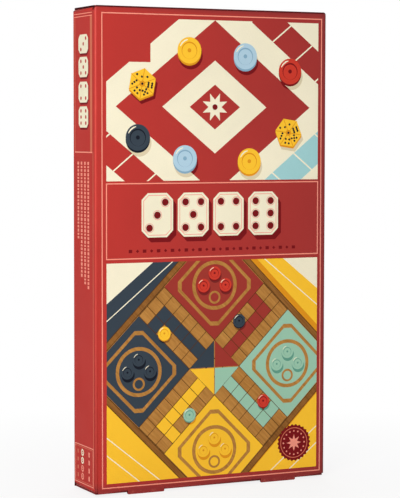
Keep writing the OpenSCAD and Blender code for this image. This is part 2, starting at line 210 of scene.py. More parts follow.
# Where the carton is handled: its upright edges and the rims of its two ends
EDGE_RUB, END_RUB = 1.2, 1.4
carton_wear, place, given, gives = new_group(
    "carton_wear", {"Amount": "Float"}, {"Worn": "Float"})
tree = carton_wear
axes = put(tree, "SeparateXYZ", {0: place}).outputs
out_x, out_y = (ramp(tree, put(tree, "Math", {0: axes[axis]}, operation="ABSOLUTE").outputs[0],
                     (half - EDGE_RUB) * MM, half * MM)
                for axis, half in (("X", HALF_W), ("Y", HALF_D)))
above = ramp(tree, axes["Z"], (TOP_Z - END_RUB) * MM, TOP_Z * MM)
below = ramp(tree, axes["Z"], 2 * END_RUB * MM, END_RUB * MM)
ends = maths(tree, "MULTIPLY", maths(tree, "MAXIMUM", above, below),
             maths(tree, "MAXIMUM", out_x, out_y))
rubbed = maths(tree, "MAXIMUM", ends, maths(tree, "MULTIPLY", out_x, out_y))
scuffs = ramp(tree, noise(tree, place, 260, 6, 0.7), 0.50, 0.66)
give(tree, gives, Worn=maths(tree, "MULTIPLY", rubbed, scuffs, given["Amount"]))

# Painted shade on the front's red: it darkens slowly to the right, where less light falls,
# and more near its right, top and foot edges
painted_shade, place, given, gives = new_group(
    "painted_shade", {"Amount": "Float"}, {"Depth": "Float"})
tree = painted_shade
axes = put(tree, "SeparateXYZ", {0: place}).outputs
kept = ramp(tree, axes["X"], -0.08, 0.08, 1.0, 0.5)
for near, far, low, high, share in (("X", None, 0.0745, 0.0790, 0.75),
                                    ("Z", None, 0.0090, 0.0030, 0.72),
                                    ("Z", "X", 0.2972, 0.3006, 0.75)):
    strip = maths(tree, "MULTIPLY", ramp(tree, axes[near], low, high), share)
    if far:
        strip = maths(tree, "MULTIPLY", strip, ramp(tree, axes[far], -0.06, 0.0, 0.4, 1.0))
    kept = maths(tree, "MULTIPLY", kept, maths(tree, "SUBTRACT", 1.0, strip))
lost = maths(tree, "SUBTRACT", 1.0, kept)
give(tree, gives, Depth=maths(tree, "MULTIPLY", lost, given["Amount"]))

# Ink on coated board: slow blotches, fine press grain, the paper showing where it's rubbed,
# and the painted shade from the group above where it is asked for
press_ink, place, given, gives = new_group(
    "press_ink", {"Colour": "Color", "Deep": "Color", "Paper": "Color", "Blotch": "Float",
                  "Grain": "Float", "Wear": "Float", "Painted_Shade": "Float"})
tree = press_ink
blotch, speck = (maths(tree, "MULTIPLY", ramp(tree, cloud, 0.3, 0.7, -1, 1), given[label])
                 for label, cloud in (("Blotch", noise(tree, place, 28)),
                                      ("Grain", noise(tree, place, 2600, 2))))
tone = maths(tree, "ADD", blotch, speck, 1.0)
depth = put(tree, "Group", {"Amount": given["Painted_Shade"]}, node_tree=painted_shade).outputs["Depth"]
inked = put(tree, "VectorMath", {0: mix(tree, depth, given["Colour"], given["Deep"]),
                                 "Scale": tone}, operation="SCALE").outputs[0]
worn = put(tree, "Group", {"Amount": given["Wear"]}, node_tree=carton_wear).outputs["Worn"]
smears = ramp(tree, noise(tree, place, 45, 5, 0.6), 0.3, 0.7, 0.34, 0.46)
fibres = maths(tree, "ADD", noise(tree, place, 900, 4, 0.65),
               maths(tree, "MULTIPLY", noise(tree, place, 90, 2), 2.0))
give(tree, gives, Colour=mix(tree, worn, inked, given["Paper"]), Height=fibres,
     Roughness=maths(tree, "ADD", smears, maths(tree, "MULTIPLY", worn, 0.3)))


def finish(name, group, colours, values=None, bump=0.1, depth=0.00002, **shader):
    """A material whose colour, roughness and relief come from one of the node groups."""
    material = bpy.data.materials.new(name)
    material.use_nodes = True
    tree = material.node_tree
    surface = tree.nodes["Principled BSDF"]
    inputs = {label: linear(rgb) for label, rgb in colours.items()}
    inputs.update(values or {})
    source = put(tree, "Group", inputs, node_tree=group).outputs
    tree.links.new(source["Colour"], surface.inputs["Base Color"])
    tree.links.new(source["Roughness"], surface.inputs["Roughness"])
    relief = put(tree, "Bump", {"Height": source["Height"], "Strength": bump,
                                "Distance": depth})
    tree.links.new(relief.outputs[0], surface.inputs["Normal"])
    for socket, value in shader.items():
        surface.inputs[socket.replace("_", " ")].default_value = value
    return material


def card_ink(name, rgb, wear=0.22, painted_shade=0.0, gloss=0.015):
    # Deep is the red that the painted shade darkens the ink towards
    return finish("ink_" + name, press_ink,
                  {"Colour": rgb, "Deep": (132, 54, 54), "Paper": (232, 128, 108)},
                  {"Blotch": 0.03, "Grain": 0.03, "Wear": wear, "Painted_Shade": painted_shade},
                  Specular_IOR_Level=gloss)


INK_COLOURS = {
    "red": (190, 58, 52), "maroon": (122, 26, 30), "cream": (247, 238, 209),
    "cream_shade": (222, 207, 172), "rule": (245, 152, 132), "rule_faint": (212, 114, 88),
    "sky": (163, 210, 211), "sky_shade": (130, 180, 187), "navy": (58, 68, 78),
    "black": (28, 31, 40), "yellow": (255, 198, 54), "amber": (228, 150, 34),
    "mint": (157, 201, 175), "teal": (98, 156, 136), "pale": (178, 208, 224),
    "pale_shade": (134, 172, 196), "scarlet": (208, 62, 48), "brick": (160, 58, 50),
    "brick_shade": (118, 40, 38), "wood_dark": (84, 52, 26),
}
card = {name: card_ink(name, rgb) for name, rgb in INK_COLOURS.items()}
# Painted highlight: a lighter red, with some real gloss, along the middle of the upright
# folds; the painted shade darkens it to the right
card["fold"] = card_ink("fold", (204, 66, 58), painted_shade=1.0, gloss=0.2)
# The front's red, darkened to the right and near its edges by the painted shade
card["front_red_shaded"] = card_ink("front_red_shaded", INK_COLOURS["red"], painted_shade=1.0)

# Wood, real or printed: long streaks with finer pores, drawn out along the grain
wood_grain, place, given, gives = new_group(
    "wood_grain", {"Light": "Color", "Dark": "Color", "Turn": "Vector", "Stretch": "Vector",
                   "Pores": "Float", "Gloss": "Float"})
tree = wood_grain
turned = put(tree, "VectorRotate", {"Vector": place, "Rotation": given["Turn"]},
             rotation_type="EULER_XYZ").outputs[0]
drawn = put(tree, "VectorMath", {0: turned, 1: given["Stretch"]},
            operation="MULTIPLY").outputs[0]
rings = put(tree, "TexNoise", {"Vector": drawn, "Scale": 0.55, "Detail": 5.0,
                               "Roughness": 0.6, "Distortion": 0.5}).outputs["Fac"]
streaks = ramp(tree, rings, 0.32, 0.68)
pores = ramp(tree, noise(tree, drawn, 5.0, 3, 0.7), 0.5, 0.72)
share = maths(tree, "ADD", maths(tree, "MULTIPLY", streaks, 0.75),
              maths(tree, "MULTIPLY", pores, given["Pores"]))
give(tree, gives, Colour=mix(tree, share, given["Light"], given["Dark"]),
     Roughness=maths(tree, "ADD", given["Gloss"], maths(tree, "MULTIPLY", pores, 0.12)),
     Height=maths(tree, "SUBTRACT", streaks, pores))

DIAGONAL = (0, math.radians(45), 0)
for name, light, dark in (("wood", (196, 140, 72), (156, 104, 48)),
                          ("wood_mid", (158, 106, 52), (116, 72, 32))):
    card[name] = finish("ink_" + name, wood_grain, {"Light": light, "Dark": dark},
                        {"Turn": DIAGONAL, "Stretch": (900, 300, 90), "Pores": 0.35,
                         "Gloss": 0.38}, bump=0.03, Specular_IOR_Level=0.03)

# A shadow in the print darkens the ink that it falls on
SHADED = {"red": "maroon", "cream": "cream_shade", "sky": "sky_shade", "yellow": "amber",
          "navy": "black", "wood": "wood_mid", "wood_mid": "wood_dark", "mint": "teal",
          "pale": "pale_shade", "scarlet": "red", "rule": "rule_faint", "amber": "wood_mid",
          "brick": "brick_shade"}

# Bare board: grey-white pulp with fibres inside, and the same board's cut edges, which the
# blade presses thin. The cut edges are painted dark maroon as painted shade, and those round
# the top closure near black, as the painted shadow in the gap under its edge
pulp, place, given, gives = new_group(
    "pulp", {"Colour": "Color", "Fibre": "Color", "Speckle": "Float"})
tree = pulp
hairs = ramp(tree, noise(tree, place, 1400, 8, 0.75), 0.52, 0.72)
clouds = ramp(tree, noise(tree, place, 70, 3), 0.3, 0.7)
fibres = maths(tree, "ADD", hairs, maths(tree, "MULTIPLY", clouds, 0.3))
marks = maths(tree, "MULTIPLY", fibres, given["Speckle"])
give(tree, gives, Colour=mix(tree, marks, given["Colour"], given["Fibre"]),
     Roughness=ramp(tree, clouds, 0.0, 1.0, 0.78, 0.9),
     Height=noise(tree, place, 1800, 5, 0.7))

card["bare"] = finish("card_inside", pulp,
                      {"Colour": (214, 206, 190), "Fibre": (150, 136, 116)},
                      {"Speckle": 0.45}, bump=0.25, depth=0.00005)
# Painted shade: dark maroon cut edges, and near-black ones for the shadow under the top
# closure
for name, rgb, fibre, speckle in (("cut_edge_shaded", (84, 20, 24), (124, 52, 50), 0.5),
                                  ("lid_edge_shadow", (58, 12, 15), (96, 36, 36), 0.4)):
    card[name] = finish("card_" + name, pulp, {"Colour": rgb, "Fibre": fibre},
                        {"Speckle": speckle}, bump=0.35, depth=0.00008,
                        Specular_IOR_Level=0.05)


def box(x0, z0, x1, z1):
    return [(x0, z0), (x1, z0), (x1, z1), (x0, z1)]


def polar(x, z, spots):
    """Points round a middle, from their (radius, angle) pairs."""
    return [(x + r * math.cos(a), z + r * math.sin(a)) for r, a in spots]


def disc(x, z, r, sides=28, turn=0.0):
    return polar(x, z, [(r, turn + 2 * math.pi * k / sides) for k in range(sides)])


def discs(x, z, sides, *steps):
    """Discs of the given inks and radii, each printed on the one before."""
    return [(ink, disc(x, z, r, sides)) for ink, r in steps]


def star(x, z, outer, inner, points, turn=0.0):
    return polar(x, z, [(inner if k % 2 else outer, turn + math.pi * k / points)
                        for k in range(2 * points)])


HARLEQUIN_RUN = 1.25


def rhomb(x, z, rise, run=HARLEQUIN_RUN):
    """A diamond of the harlequin pattern, run times as wide as it is high."""
    return [(x, z - rise), (x + rise * run, z), (x, z + rise), (x - rise * run, z)]


def inset(x0, z0, x1, z1, by):
    return x0 + by, z0 + by, x1 - by, z1 - by


def plate(x0, z0, x1, z1, cut):
    """A box with its corners cut off."""
    return [(x0 + cut, z0), (x1 - cut, z0), (x1, z0 + cut), (x1, z1 - cut),
            (x1 - cut, z1), (x0 + cut, z1), (x0, z1 - cut), (x0, z0 + cut)]


def line(start, end, width):
    a, b = Vector(start), Vector(end)
    side = (b - a).orthogonal().normalized() * width / 2
    return [tuple(p) for p in (a - side, b - side, b + side, a + side)]


def moved(shapes, x, z, turn=0.0):
    c, s = math.cos(turn), math.sin(turn)
    return [(ink, [(x + c * u - s * v, z + s * u + c * v) for u, v in outline])
            for ink, outline in shapes]


def quarter(steps):
    """Angles from nothing to a right angle."""
    return [math.pi / 2 * k / steps for k in range(steps + 1)]


def edges(outline):
    """Each corner of an outline with the next one."""
    return zip(outline, outline[1:] + outline[:1])


def area(outline):
    """The outline's area, which is negative where it runs clockwise."""
    return sum(a[0] * b[1] - b[0] * a[1] for a, b in edges(outline)) / 2


def cropped(shapes, window):
    """Cuts shapes off at the edges of a convex window."""
    kept = []
    for ink, outline in shapes:
        for a, b in edges(window):
            side = [(b[0] - a[0]) * (p[1] - a[1]) - (b[1] - a[1]) * (p[0] - a[0])
                    for p in outline]
            cut = []
            for i, p in enumerate(outline):
                q, here, there = outline[i - 1], side[i], side[i - 1]
                if (here >= 0) != (there >= 0):
                    t = there / (there - here)
                    cut.append((q[0] + t * (p[0] - q[0]), q[1] + t * (p[1] - q[1])))
                if here >= 0:
                    cut.append(p)
            outline = cut
            if not outline:
                break
        if len(outline) > 2 and abs(area(outline)) > 0.01:
            kept.append((ink, outline))
    return kept


def framed(x0, z0, x1, z1, width, ink="rule", ground="red"):
    """A ruled frame, as a filled box with the ground printed inside it."""
    return [(ink, box(x0, z0, x1, z1)), (ground, box(*inset(x0, z0, x1, z1, width)))]


DARKER = {"red": "maroon", "navy": "black", "yellow": "amber", "mint": "teal",
          "pale": "pale_shade", "scarlet": "maroon", "cream": "cream_shade"}


def counter(x, z, r, ink):
    """A turned counter seen from above, with its rim, its dished middle and a glint."""
    dark = DARKER[ink]
    glint = polar(x, z, [(r * c, a) for c, a in (
        (0.86, 1.75), (0.88, 2.05), (0.88, 2.4), (0.86, 2.75),
        (0.80, 2.75), (0.77, 2.4), (0.77, 2.05), (0.80, 1.75))])
    return [("shade", disc(x + 0.10 * r, z - 0.42 * r, r * 1.02)),
            (dark, disc(x, z - 0.16 * r, r)), (ink, disc(x, z, r)),
            (dark, disc(x, z, 0.66 * r, 24)), (ink, disc(x, z - 0.05 * r, 0.6 * r, 24)),
            (dark, disc(x, z, 0.16 * r, 12)), ("cream", glint)]


def pip_places(n, x, z, gap_x, gap_z):
    spots = {1: [(0, 0)], 2: [(-1, -1), (1, 1)], 3: [(-1, -1), (0, 0), (1, 1)],
             4: [(-1, -1), (1, 1), (-1, 1), (1, -1)],
             5: [(-1, -1), (1, 1), (-1, 1), (1, -1), (0, 0)],
             6: [(-1, -1), (1, 1), (-1, 1), (1, -1), (-1, 0), (1, 0)]}
    return [(x + i * gap_x, z + j * gap_z) for i, j in spots[n]]


def score_plate(x0, z0, x1, z1, n, pip, drop, cut, outlined=False):
    """A cream plate with dots, an inner outline and a dark shadow below it."""
    face = plate(x0, z0, x1, z1, cut)
    both = face + [(x + drop[0], z + drop[1]) for x, z in face]
    shapes = [("maroon", [both[i] for i in convex_hull_2d([Vector(p) for p in both])]),
              ("cream", face)]
    dot = [("red", pip)]
    if outlined:
        shapes += [("rule", plate(*inset(x0, z0, x1, z1, 1.2), cut * 0.86)),
                   ("cream", plate(*inset(x0, z0, x1, z1, 1.6), cut * 0.8))]
        dot = [("rule", pip + 0.75), ("cream", pip + 0.4), ("maroon", pip)]
    mid_x, mid_z = (x0 + x1) / 2, (z0 + z1) / 2
    for x, z in pip_places(n, mid_x, mid_z, (x1 - x0) * 0.25, (z1 - z0) * 0.29):
        shapes += discs(x, z, 24, *dot)
    return shapes


def plate_row(counts, left, step, z0, z1, width, pip, drop, cut, outlined=False):
    """A row of score plates, one for each count of dots."""
    shapes = []
    for k, n in enumerate(counts):
        x = left + step * k
        shapes += score_plate(x, z0, x + width, z1, n, pip, drop, cut, outlined)
    return shapes


def spinner(x, z, r, turn):
    """A six-sided spinning top seen from above, with one to six dots on its sides."""
    corners = disc(x, z, r, 6, turn)
    shapes = [("shade", disc(x + 0.12 * r, z - 0.3 * r, r * 1.02, 6, turn)),
              ("amber", disc(x, z - 0.12 * r, r, 6, turn)), ("yellow", corners)]
    shapes += [("amber", line((x, z), c, 0.45)) for c in corners]
    for k in range(6):
        a = turn + math.pi * (k + 0.5) / 3
        for u, v in pip_places(k + 1, 0, 0, 0.13 * r, 0.13 * r):
            u += 0.56 * r
            shapes.append(("black", disc(x + u * math.cos(a) - v * math.sin(a),
                                         z + u * math.sin(a) + v * math.cos(a),
                                         0.075 * r, 10)))
    return shapes + [("amber", disc(x, z, 0.2 * r, 16)), ("black", disc(x, z, 0.08 * r, 10))]


def board_plan(cell, rule):
    """The traditional cross track of fifteen by fifteen squares, flat, with its four yards."""
    shapes = []
    half, arm = 7.5 * cell, 1.5 * cell
    for flip in (False, True):
        for k in range(4):
            across = (k - 1.5) * cell
            shapes.append(("wood_dark", box(across - rule, -half, across + rule, half)))
        for k in range(16):
            up = (k - 7.5) * cell
            shapes.append(("wood_dark", box(-arm, up - rule, arm, up + rule)))
        if not flip:
            shapes = moved(shapes, 0, 0, math.pi / 2)
    x, z = -4.5 * cell, 4.5 * cell
    for k, ink in enumerate(("navy", "yellow", "mint", "brick")):
        parts = [(ink, box((i - 0.5) * cell + rule, (j + 1.5) * cell + rule,
                           (i + 0.5) * cell - rule, (j + 2.5) * cell - rule))
                 for i, j in [(0, 0), (0, 1), (0, 2), (0, 3), (0, 4), (-1, 4)]]
        parts += [(ink, [(-arm + 2 * rule, arm), (0, 2 * rule), (arm - 2 * rule, arm)]),
                  (ink, box(-half, arm + rule, -arm - rule, half))]
        for tint, reach, cut in (("wood", 2.45 * cell, 0.5), (ink, 2.2 * cell, 0.45)):
            parts.append((tint, plate(x - reach, z - reach, x + reach, z + reach, cut * cell)))
        parts += discs(x, z, 40, ("wood", 1.9 * cell), (ink, 1.62 * cell))
        for i, j in pip_places(4, x, z, 0.66 * cell, 0.66 * cell):
            parts += discs(i, j, 24, ("wood", 0.5 * cell), (ink, 0.34 * cell))
        shapes += moved(parts, 0, 0, k * math.pi / 2)
    return shapes


def printed_board(cell, rim, wide, rule):
    """The track board as it is printed, flat, in a wooden rim that is ruled on both sides."""
    shapes = [(ink, box(*inset(-rim, -rim, rim, rim, by)))
              for ink, by in (("wood_dark", 0), ("wood_mid", rule),
                              ("wood_dark", wide - rule), ("wood", wide))]
    return shapes + board_plan(cell, 0.2)


def printed_triangles(shapes):
    """Cuts overlapping ink shapes, painted in order, into triangles that don't overlap."""
    points, loops = [], []
    for _, outline in shapes:
        ring = outline if area(outline) > 0 else outline[::-1]
        loops.append(list(range(len(points), len(points) + len(ring))))
        points += [Vector(p) for p in ring]
    corners, _, triangles, _, _, sources = delaunay_2d_cdt(points, [], loops, 1, 1e-4)
    inks = []
    for owners in sources:
        stack = [shapes[k][0] for k in sorted(owners, reverse=True)]
        ink = stack[0]
        if ink == "shade":
            under = next(i for i in stack if i != "shade")
            ink = SHADED.get(under, under)
        inks.append(ink)
    return [tuple(p) for p in corners], triangles, inks


def flat_card(shapes, place, depth=CARD, back="bare", edge="cut_edge_shaded", back_outline=None,
              no_wall=()):
    """Faces of a flat piece of card: its print, its other face and its cut edges. The first
    shape is the card's own outline, and place(u, v, depth) says where a point of it lies."""
    outline = shapes[0][1]
    corners, triangles, inks = printed_triangles(shapes)
    faces = [([place(*corners[i], 0) for i in t], ink, False)
             for t, ink in zip(triangles, inks)]
    rear = back_outline or outline
    corners, triangles, _ = printed_triangles([(back, rear)])
    faces += [([place(*corners[i], depth) for i in reversed(t)], back, False)
              for t in triangles]
    for k, (a, b) in enumerate(edges(outline)):
        c, d = rear[k], rear[(k + 1) % len(rear)]
        if k not in no_wall:
            faces.append(([place(*a, 0), place(*c, depth), place(*d, depth), place(*b, 0)],
                          edge, False))
    return faces


def upright_corner(section, finishes, turn_right):
    """Faces of one rounded upright edge of the front panel. section runs round the card's
    cut, as (depth, height) points, and each of its edges after the first has a finish. The
    first is the print, with a painted highlight, a lighter and glossier red, along the middle
    of the fold."""
    side = 1 if turn_right else -1
    spots = [(math.sin(a) * side, -math.cos(a)) for a in quarter(CORNER_STEPS)]
    if not turn_right:
        spots.reverse()

    def at(k, depth, z):
        n = spots[k]
        r = EDGE_R - depth
        drop = CORNER_DROP * (1 + n[1]) if z > TOP_Z - EDGE_R else 0
        return (side * FLAT_X + n[0] * r, -HALF_D + EDGE_R + n[1] * r, z - drop)

    faces = []
    for k in range(CORNER_STEPS):
        for j, ink in enumerate(["fold" if k in SHINE else "red", *finishes]):
            a, b = section[j], section[(j + 1) % len(section)]
            faces.append(([at(k, *a), at(k + 1, *a), at(k + 1, *b), at(k, *b)], ink, True))
    cap = [at(CORNER_STEPS if turn_right else 0, *p) for p in section]
    faces.append((cap[::-1] if turn_right else cap, "cut_edge_shaded", False))
    return faces


def wrapped_panel(shapes, z_low, z_high, top_round=0, foot=()):
    """Faces of a main panel with both its rounded edges. top_round is the radius of its upper
    edge, and foot the outline of its lower one, from left to right, where it has tongues."""
    z_print = z_high - top_round
    lower = [(-FLAT_X, z_low), *foot, (FLAT_X, z_low)]
    outline = lower + [(FLAT_X, z_print), (-FLAT_X, z_print)]
    rear = lower + [(FLAT_X, z_high), (-FLAT_X, z_high)]
    n = len(lower)
    faces = flat_card([("red", outline)] + shapes,
                      lambda u, v, d: (u, -HALF_D + d, v),
                      back_outline=rear, no_wall=(n - 1, n, n + 1))
    # The upper edge, rounded where top_round is given, is in the dark cut-edge colour: a
    # painted shade line along the panel's top
    rounding = [(top_round * (1 - math.cos(a)), z_print + top_round * math.sin(a))
                for a in (quarter(4) if top_round else [0])] + [(CARD, z_high)]
    for a, b in zip(rounding, rounding[1:]):
        faces.append(([(x, -HALF_D + d, z) for x, (d, z) in
                       ((-FLAT_X, a), (FLAT_X, a), (FLAT_X, b), (-FLAT_X, b))],
                      "cut_edge_shaded", True))
    section = [(0, z_low), *rounding, (CARD, z_low)]
    finishes = ["cut_edge_shaded"] * (len(rounding) - 1) + ["bare", "cut_edge_shaded"]
    for turn_right in (False, True):
        faces += upright_corner(section, finishes, turn_right)
    return faces


def add_piece(name, mesh, body, nodes):
    """Puts a mesh in the scene under its body, and hides the CAD nodes that it stands for."""
    piece = bpy.data.objects.new(name, mesh)
    bpy.context.scene.collection.objects.link(piece)
    if body:
        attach(piece, body)
    if nodes:
        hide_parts(*nodes)
    return piece


def make(name, body, faces, finishes, nodes=()):
    """One object from faces of (corners in mm, finish, smooth), welded where they meet."""
    index, corners, polygons, inks, smooth = {}, [], [], [], []
    for outline, ink, soft in faces:
        ring = []
        for p in outline:
            key = tuple(round(c, 4) for c in p)
            if key not in index:
                index[key] = len(corners)
                corners.append([c * MM for c in p])
            if index[key] not in ring:
                ring.append(index[key])
        if len(ring) > 2:
            polygons.append(ring)
            inks.append(ink)
            smooth.append(soft)
    used = list(dict.fromkeys(inks))
    mesh = bpy.data.meshes.new(name)
    mesh.from_pydata(corners, [], polygons)
    for ink in used:
        mesh.materials.append(finishes[ink])
    mesh.polygons.foreach_set("material_index", [used.index(i) for i in inks])
    mesh.polygons.foreach_set("use_smooth", smooth)
    mesh.update()
    return add_piece(name, mesh, body, nodes)


ART_LEFT, ART_MIDDLE, ART_RIGHT = -73, 0.75, 74.5
UPPER_LOW, UPPER_HIGH, LOWER_LOW, LOWER_HIGH = 194.2, 294.0, 7.5, 143.8


def harlequin_field():
    """The upper picture: nested diamonds, with a ring of counters and spinners."""
    window = box(ART_LEFT, UPPER_LOW, ART_RIGHT, UPPER_HIGH)
    x, z, rise = ART_MIDDLE, 240.0, 74
    shapes = [("cream", window)]
    for ink, part in (("red", window), ("sky", box(x, UPPER_LOW, ART_RIGHT, z))):
        shapes += cropped([(ink, rhomb(x, z, rise + 21))], part)
    for side, lift in ((1, -1), (-1, -1), (1, 1)):
        for k in range(1, 7):
            t = k / 6 - 0.06
            start = (x + side * HARLEQUIN_RUN * rise * t, z + lift * rise * (1 - t))
            end = (start[0] + side * 13.1, start[1] + lift * 10.5)
            shapes.append(("cream", line(start, end, 0.9)))
    for ink, less in (("cream", 0), ("red", 20), ("cream", 45), ("red", 60)):
        shapes.append((ink, rhomb(x, z, rise - less)))
    shapes.append(("cream", star(x, z, 9.2, 4.6, 8, math.pi / 8)))
    shapes.append(("maroon", disc(x, z, 1.8, 16)))
    for u, v, ink in ((-52, 221, "navy"), (54, 263, "scarlet"), (-17, 275, "yellow"),
                      (22, 272, "pale"), (-20, 208, "pale"), (25, 206, "yellow")):
        shapes += counter(u, v, 8.2, ink)
    shapes += spinner(-49, 254, 9.6, 0.35) + spinner(53, 224, 9.6, 0.9)
    shapes.append(("red", box(ART_LEFT, 267.2, -43.5, UPPER_HIGH)))
    return cropped(shapes, window)


def board_field():
    """The lower picture: the track board, turned on one corner, over harlequin corners."""
    window = box(ART_LEFT, LOWER_LOW, ART_RIGHT, LOWER_HIGH)
    x, z, cell = ART_MIDDLE, 76.0, 8.2
    shapes = [("yellow", window), ("navy", box(ART_LEFT, z, x, LOWER_HIGH))]
    for corner_x, corner_z, rise, ink in (
            (ART_LEFT, LOWER_HIGH, 25, "navy"), (ART_RIGHT, LOWER_HIGH, 20, "yellow"),
            (ART_LEFT, LOWER_LOW, 18, "yellow"), (ART_RIGHT, LOWER_LOW, 16, "yellow")):
        middle = ink if corner_z < z else "cream"
        shapes += [(tint, rhomb(corner_x, corner_z, rise + more)) for tint, more in (
            ("cream", 11), (ink, 10.2), ("cream", 0), (middle, -0.8))]
    rim = 7.5 * cell + 4.4
    board = [("shade", box(3.4 - rim, -0.6 - rim, 3.4 + rim, rim - 0.6))]
    shapes += moved(board + printed_board(cell, rim, 4.1, 0.5), x, z, math.pi / 4)
    near, far, step = 3.84, 5.16, cell * math.sqrt(0.5)
    for ink, spots in (
            ("navy", ((-far, far), (-near, near), (-near, far), (4, 1))),
            ("scarlet", ((far, far), (near, far), (far, near), (1, -5))),
            ("mint", ((near, -near), (far, -far), (far, -near), (-4, -1))),
            ("yellow", ((-far, -near), (-near, -near), (-near, -far), (-1, 5)))):
        for i, j in spots:
            shapes += counter(x + (i - j) * step, z + (i + j) * step, 4.3, ink)
    return cropped(shapes, window)


def seal(x, z):
    """A scalloped seal with a ring, dots and a star."""
    shapes = [("maroon", star(x, z, 12.2, 11.2, 26)), ("rule_faint", disc(x, z, 9.9, 40)),
              ("maroon", disc(x, z, 9.4, 40)), ("rule", star(x, z, 5.4, 2.5, 8))]
    return shapes + [("rule", disc(u, v, 0.55, 10)) for u, v in disc(x, z, 7.6, 16)]


def title_band():
    """The band between the pictures: a ruled frame, four score plates and a row of marks."""
    shapes = framed(-73.3, 146.0, 74.9, 193.0, 0.7)
    shapes += plate_row((3, 5, 4, 6), -49.5, 24.6, 159.2, 186.7, width=21.4, pip=2.3,
                        drop=(2.2, -3.0), cut=4.2, outlined=True)
    for k in range(25):
        x, z = -57 + 114 * k / 24, 150.9
        shapes.append(("maroon", rhomb(x, z, 1.1, 1.0) if k % 2 else
                       box(x - 1.2, z - 1.0, x + 1.2, z + 1.0)))
    return shapes


FRONT_LOW = BASE_Z + CARD + CREASE_BAND
TONGUE_IN, TONGUE_OUT, TONGUE_CUT = 34, 59, 0.6
front_foot = [(-TONGUE_OUT, FRONT_LOW), (-TONGUE_OUT, TONGUE_CUT),
              (-TONGUE_OUT + TONGUE_CUT, 0), (-TONGUE_IN - TONGUE_CUT, 0),
              (-TONGUE_IN, TONGUE_CUT), (-TONGUE_IN, FRONT_LOW)]
front_foot += [(-x, z) for x, z in reversed(front_foot)]
front_print = framed(-76.2, 4.6, 77.2, 297.0, 0.7) + harlequin_field() + title_band()
front_print += board_field() + seal(58, 24.2)
# The front's print uses the red with the painted shade
front_inks = {**card, "red": card["front_red_shaded"]}
make("front_panel_card", "carton",
     wrapped_panel(front_print, FRONT_LOW, TOP_Z, top_round=1.1, foot=front_foot),
     front_inks, ["front_panel"])


# The back panel is the same board, printed with a smaller plan of the game's track. The
# top closure folds from its upper edge, so it ends one card's thickness lower.
def half_turn(faces):
    """Turns faces about the box's upright middle, so that the front's become the back's."""
    return [([(-x, -y, z) for x, y, z in outline], ink, soft) for outline, ink, soft in faces]


def back_field():
    half, low, middle, high, stripe = 66, 112, 187, 262, 12
    window = box(-half, low, half, high)
    shapes = [("cream", window), ("red", rhomb(0, middle, 112)),
              ("cream", rhomb(0, middle, 92)),
              ("sky", box(-half, low, half, low + stripe)),
              ("yellow", box(-half, high - stripe, half, high)),
              ("shade", box(-60, 121.5, 65, 247))]
    shapes += moved(printed_board(7.8, 62.4, 3.8, 0.4), 0, middle)
    for x in (-54, -18, 18, 54):
        for z in (low + stripe / 2, high - stripe / 2):
            shapes += [("navy", rhomb(x, z, 4.4)), ("cream", rhomb(x, z, 2.2))]
    return cropped(shapes, window)


back_print = framed(-76.5, 4.9, 76.5, 296.4, 0.7) + framed(-74.5, 6.9, 74.5, 294.4, 0.35)
back_print += back_field()
back_print += plate_row((6, 4, 5, 3), -37.0, 20, 270.5, 286.5, width=14, pip=1.4,
                        drop=(1.2, -1.6), cut=2.6)
for row in range(7):
    z, reach = 98.9 - row * 7, 58 - 9 * (row % 3 == 2) - 14 * (row == 6)
    back_print += [("rule", box(-58, z - 0.3, reach, z + 0.3)),
                   ("rule", rhomb(-62.5, z, 1.3, 1.0)), ("rule", rhomb(62.5, z, 1.3, 1.0))]
for x, ink in ((-45, "navy"), (-15, "yellow"), (15, "mint"), (45, "pale")):
    back_print += counter(x, 32, 8.0, ink)
make("back_panel_card", "carton",
     half_turn(wrapped_panel(back_print, BASE_Z, TOP_Z - CARD - CREASE_BAND)),
     card, ["back_panel"])


# The side panels are plain bands of the same board between the two main panels, printed
# with ruled lines, four small plates, rows of small marks and a framed row of rings.
SIDE_EDGE = HALF_D - EDGE_R
SIDE_LOW = BASE_Z + 2 * CARD + CREASE_BAND
SIDE_TOP = TOP_Z - 2 * CARD - CREASE_BAND


def side_print():
    """Drawn for the left panel, where the front of the box is at +x."""
    shapes = [("red", box(-SIDE_EDGE, SIDE_LOW, SIDE_EDGE, SIDE_TOP)),
              ("rule", box(-15.6, 296.7, 13.5, 297.2)),
              ("rule", box(-15.6, 295.0, 13.5, 295.5)),
              ("rule_faint", box(-14.6, 212.2, -13.8, 295.0)),
              ("rule_faint", box(10.4, 212.2, 13.6, 295.0)),
              ("rule_faint", box(14.4, 4.4, 15.1, 212.0)),
              ("rule", box(-14.6, 211.5, 13.6, 212.2))]
    for z0, z1, n in ((272.6, 284.2, 3), (258.0, 270.4, 5), (242.4, 255.2, 4),
                      (227.0, 240.0, 6)):
        shapes += score_plate(-8.3, z0, 7.2, z1, n, pip=1.15, drop=(0.9, -1.3), cut=2.4)
    for x, low in ((-9.1, 158), (-3.7, 134), (1.8, 130), (7.1, 128)):
        z, k = 206.0, 0
        while z > low:
            tall = (1.9, 1.2, 1.6)[k % 3]
            shapes.append(("rule", box(x - 1.35, z - tall, x + 1.35, z)))
            z, k = z - tall - 0.75, k + 1
    shapes += framed(-15.6, 4.9, 14.6, 29.4, 0.6)
    shapes += framed(-14.4, 6.1, 13.4, 28.2, 0.35, "rule_faint")
    for k, z in enumerate((24.6, 19.6, 14.6, 9.6)):
        ink = "cream" if k < 2 else "rule"
        shapes += [(ink, disc(-3.2, z, 2.2, 20)), ("red", disc(-3.2, z, 1.2, 16)),
                   (ink, disc(-3.2, z, 0.6, 10)), ("rule", box(6.6, z - 1.5, 8.6, z + 1.5)),
                   ("rule_faint", box(-11.4, z - 1.2, -9.6, z + 1.2))]
    return shapes


